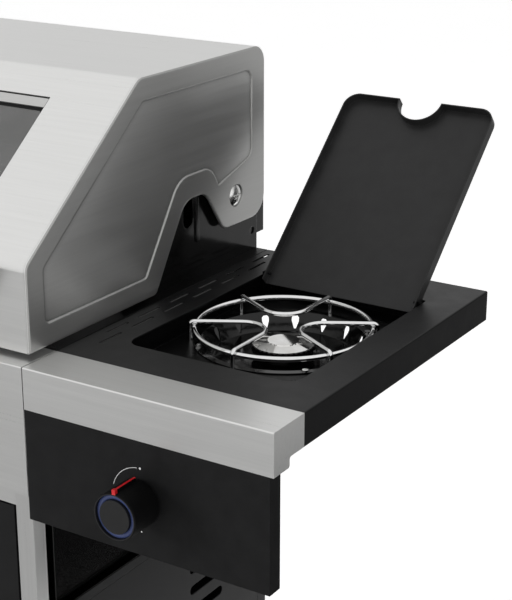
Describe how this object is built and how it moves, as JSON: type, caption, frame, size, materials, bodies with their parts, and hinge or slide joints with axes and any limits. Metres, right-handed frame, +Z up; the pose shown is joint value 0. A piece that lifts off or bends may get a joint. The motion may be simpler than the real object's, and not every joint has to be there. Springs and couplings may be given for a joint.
{
  "type": "gas barbecue grill",
  "caption": "Cart-style gas barbecue with a windowed hinged hood, cabinet on casters, two side shelves and a lidded side burner.",
  "frame": {"origin": "on the floor, at the middle of the whole object's footprint with the hood closed and the burner lid open", "axes": "+Z up, +X to the user's right along the front, +Y from the front to the back"},
  "size_m": [1.36, 0.6742, 1.1745],
  "materials": {
    "stainless": "brushed sheet",
    "black_coat": "matt black powder coat",
    "gloss_black": "glossy black enamel",
    "chrome_wire": "polished wire",
    "iron": "black enamelled cast iron",
    "burner_steel": "plain tube",
    "zinc": "bright zinc plate",
    "aluminium": "cast and turned",
    "brass": "machined",
    "knob_plastic": "satin black",
    "ceramic": "glazed white ceramic",
    "window_glass": "smoked heat-proof glass",
    "tyre": "moulded"
  },
  "bodies": {
    "cart": {"bowl_screws": "zinc", "burner_bowl": "gloss_black", "burner_cap": "stainless", "burner_head": "gloss_black", "burner_pan": "gloss_black", "cabinet_back": "black_coat", "cabinet_floor": "black_coat", "cabinet_sides": "black_coat", "caster_mounts": "zinc", "control_panel": "stainless", "cooking_grates": "iron", "fascias": "black_coat", "firebox_back": "black_coat", "firebox_ends": "black_coat", "firebox_front": "black_coat", "flame_tamers": "burner_steel", "front_posts": "stainless", "front_rails": "stainless", "gas_manifold": "aluminium", "gas_valves": "brass", "hinge_pins": "zinc", "hood_pivot_screws": "zinc", "igniter_electrodes": "ceramic", "main_burners": "burner_steel", "pot_support": "chrome_wire", "rear_shield": "black_coat", "shelf_brackets": "black_coat", "shelf_trims": "stainless", "side_gas_pipe": "aluminium", "side_ledges": "black_coat", "table_top_left": "black_coat", "table_top_right": "black_coat", "warming_rack": "chrome_wire"},
    "hood": {"hood_shell": "stainless", "hood_ends": "stainless", "hood_window": "window_glass", "window_retainer": "stainless", "hood_handle": "stainless", "handle_standoffs": "stainless", "thermometer": "stainless"},
    "side_lid": {"burner_lid": "black_coat"},
    "left_door": {"door_left": "black_coat"},
    "right_door": {"door_right": "black_coat"},
    "tray": {"grease_tray": "burner_steel"},
    "stem_left": {"valve_stem_left": "brass"},
    "knob_left": {"knob_left": "knob_plastic"},
    "stem_middle": {"valve_stem_middle": "brass"},
    "knob_middle": {"knob_middle": "knob_plastic"},
    "stem_right": {"valve_stem_right": "brass"},
    "knob_right": {"knob_right": "knob_plastic"},
    "stem_side": {"valve_stem_side": "brass"},
    "knob_side": {"knob_side": "knob_plastic"},
    "swivel_front": {"swivel_fork_front": "zinc"},
    "swivel_wheel_front": {"swivel_wheel_front": "tyre"},
    "fixed_wheel_front": {"fixed_wheel_front": "tyre"},
    "brake_front": {"brake_lever_front": "zinc"},
    "swivel_rear": {"swivel_fork_rear": "zinc"},
    "swivel_wheel_rear": {"swivel_wheel_rear": "tyre"},
    "fixed_wheel_rear": {"fixed_wheel_rear": "tyre"},
    "brake_rear": {"brake_lever_rear": "zinc"}
  },
  "joints": [
    {"name": "hood_hinge", "type": "hinge", "parent": "cart", "child": "hood", "pos_m": [0, 0.14589, 0.989], "axis": [-1, 0, 0], "range_deg": [0, 85]},
    {"name": "side_lid_hinge", "type": "hinge", "parent": "cart", "child": "side_lid", "pos_m": [0.521, 0.12324, 0.901], "axis": [1, 0, 0], "range_deg": [0, 137.2]},
    {"name": "left_door_hinge", "type": "hinge", "parent": "cart", "child": "left_door", "pos_m": [-0.3228, -0.27511, 0.4165], "axis": [0, 0, -1], "range_deg": [0, 105]},
    {"name": "right_door_hinge", "type": "hinge", "parent": "cart", "child": "right_door", "pos_m": [0.3228, -0.27511, 0.4165], "axis": [0, 0, 1], "range_deg": [0, 105]},
    {"name": "grease_tray_slide", "type": "slide", "parent": "cart", "child": "tray", "axis": [0, 1, 0], "range_m": [0, 0.28]},
    {"name": "stem_turn_left", "type": "hinge", "parent": "cart", "child": "stem_left", "pos_m": [-0.21, -0.29111, 0.783], "axis": [0, -1, 0], "range_deg": [0, 180]},
    {"name": "knob_push_left", "type": "slide", "parent": "stem_left", "child": "knob_left", "axis": [0, 1, 0], "range_m": [0, 0.004], "stiffness_N_per_m": 800, "springref_m": -0.004},
    {"name": "stem_turn_middle", "type": "hinge", "parent": "cart", "child": "stem_middle", "pos_m": [0, -0.29111, 0.783], "axis": [0, -1, 0], "range_deg": [0, 180]},
    {"name": "knob_push_middle", "type": "slide", "parent": "stem_middle", "child": "knob_middle", "axis": [0, 1, 0], "range_m": [0, 0.004], "stiffness_N_per_m": 800, "springref_m": -0.004},
    {"name": "stem_turn_right", "type": "hinge", "parent": "cart", "child": "stem_right", "pos_m": [0.21, -0.29111, 0.783], "axis": [0, -1, 0], "range_deg": [0, 180]},
    {"name": "knob_push_right", "type": "slide", "parent": "stem_right", "child": "knob_right", "axis": [0, 1, 0], "range_m": [0, 0.004], "stiffness_N_per_m": 800, "springref_m": -0.004},
    {"name": "stem_turn_side", "type": "hinge", "parent": "cart", "child": "stem_side", "pos_m": [0.516, -0.29111, 0.783], "axis": [0, -1, 0], "range_deg": [0, 180]},
    {"name": "knob_push_side", "type": "slide", "parent": "stem_side", "child": "knob_side", "axis": [0, 1, 0], "range_m": [0, 0.004], "stiffness_N_per_m": 800, "springref_m": -0.004},
    {"name": "swivel_front", "type": "hinge", "parent": "cart", "child": "swivel_front", "pos_m": [-0.3, -0.22111, 0.09], "axis": [0, 0, 1], "continuous": true},
    {"name": "swivel_wheel_front_roll", "type": "hinge", "parent": "swivel_front", "child": "swivel_wheel_front", "pos_m": [-0.276, -0.22111, 0.0375], "axis": [0, 1, 0], "continuous": true},
    {"name": "fixed_wheel_front_roll", "type": "hinge", "parent": "cart", "child": "fixed_wheel_front", "pos_m": [0.3, -0.22111, 0.0375], "axis": [0, 1, 0], "continuous": true},
    {"name": "brake_lever_front", "type": "hinge", "parent": "cart", "child": "brake_front", "pos_m": [0.306, -0.22111, 0.0865], "axis": [0, -1, 0], "range_deg": [0, 20]},
    {"name": "swivel_rear", "type": "hinge", "parent": "cart", "child": "swivel_rear", "pos_m": [-0.3, 0.15889, 0.09], "axis": [0, 0, 1], "continuous": true},
    {"name": "swivel_wheel_rear_roll", "type": "hinge", "parent": "swivel_rear", "child": "swivel_wheel_rear", "pos_m": [-0.276, 0.15889, 0.0375], "axis": [0, 1, 0], "continuous": true},
    {"name": "fixed_wheel_rear_roll", "type": "hinge", "parent": "cart", "child": "fixed_wheel_rear", "pos_m": [0.3, 0.15889, 0.0375], "axis": [0, 1, 0], "continuous": true},
    {"name": "brake_lever_rear", "type": "hinge", "parent": "cart", "child": "brake_rear", "pos_m": [0.306, 0.15889, 0.0865], "axis": [0, -1, 0], "range_deg": [0, 20]}
  ]
}
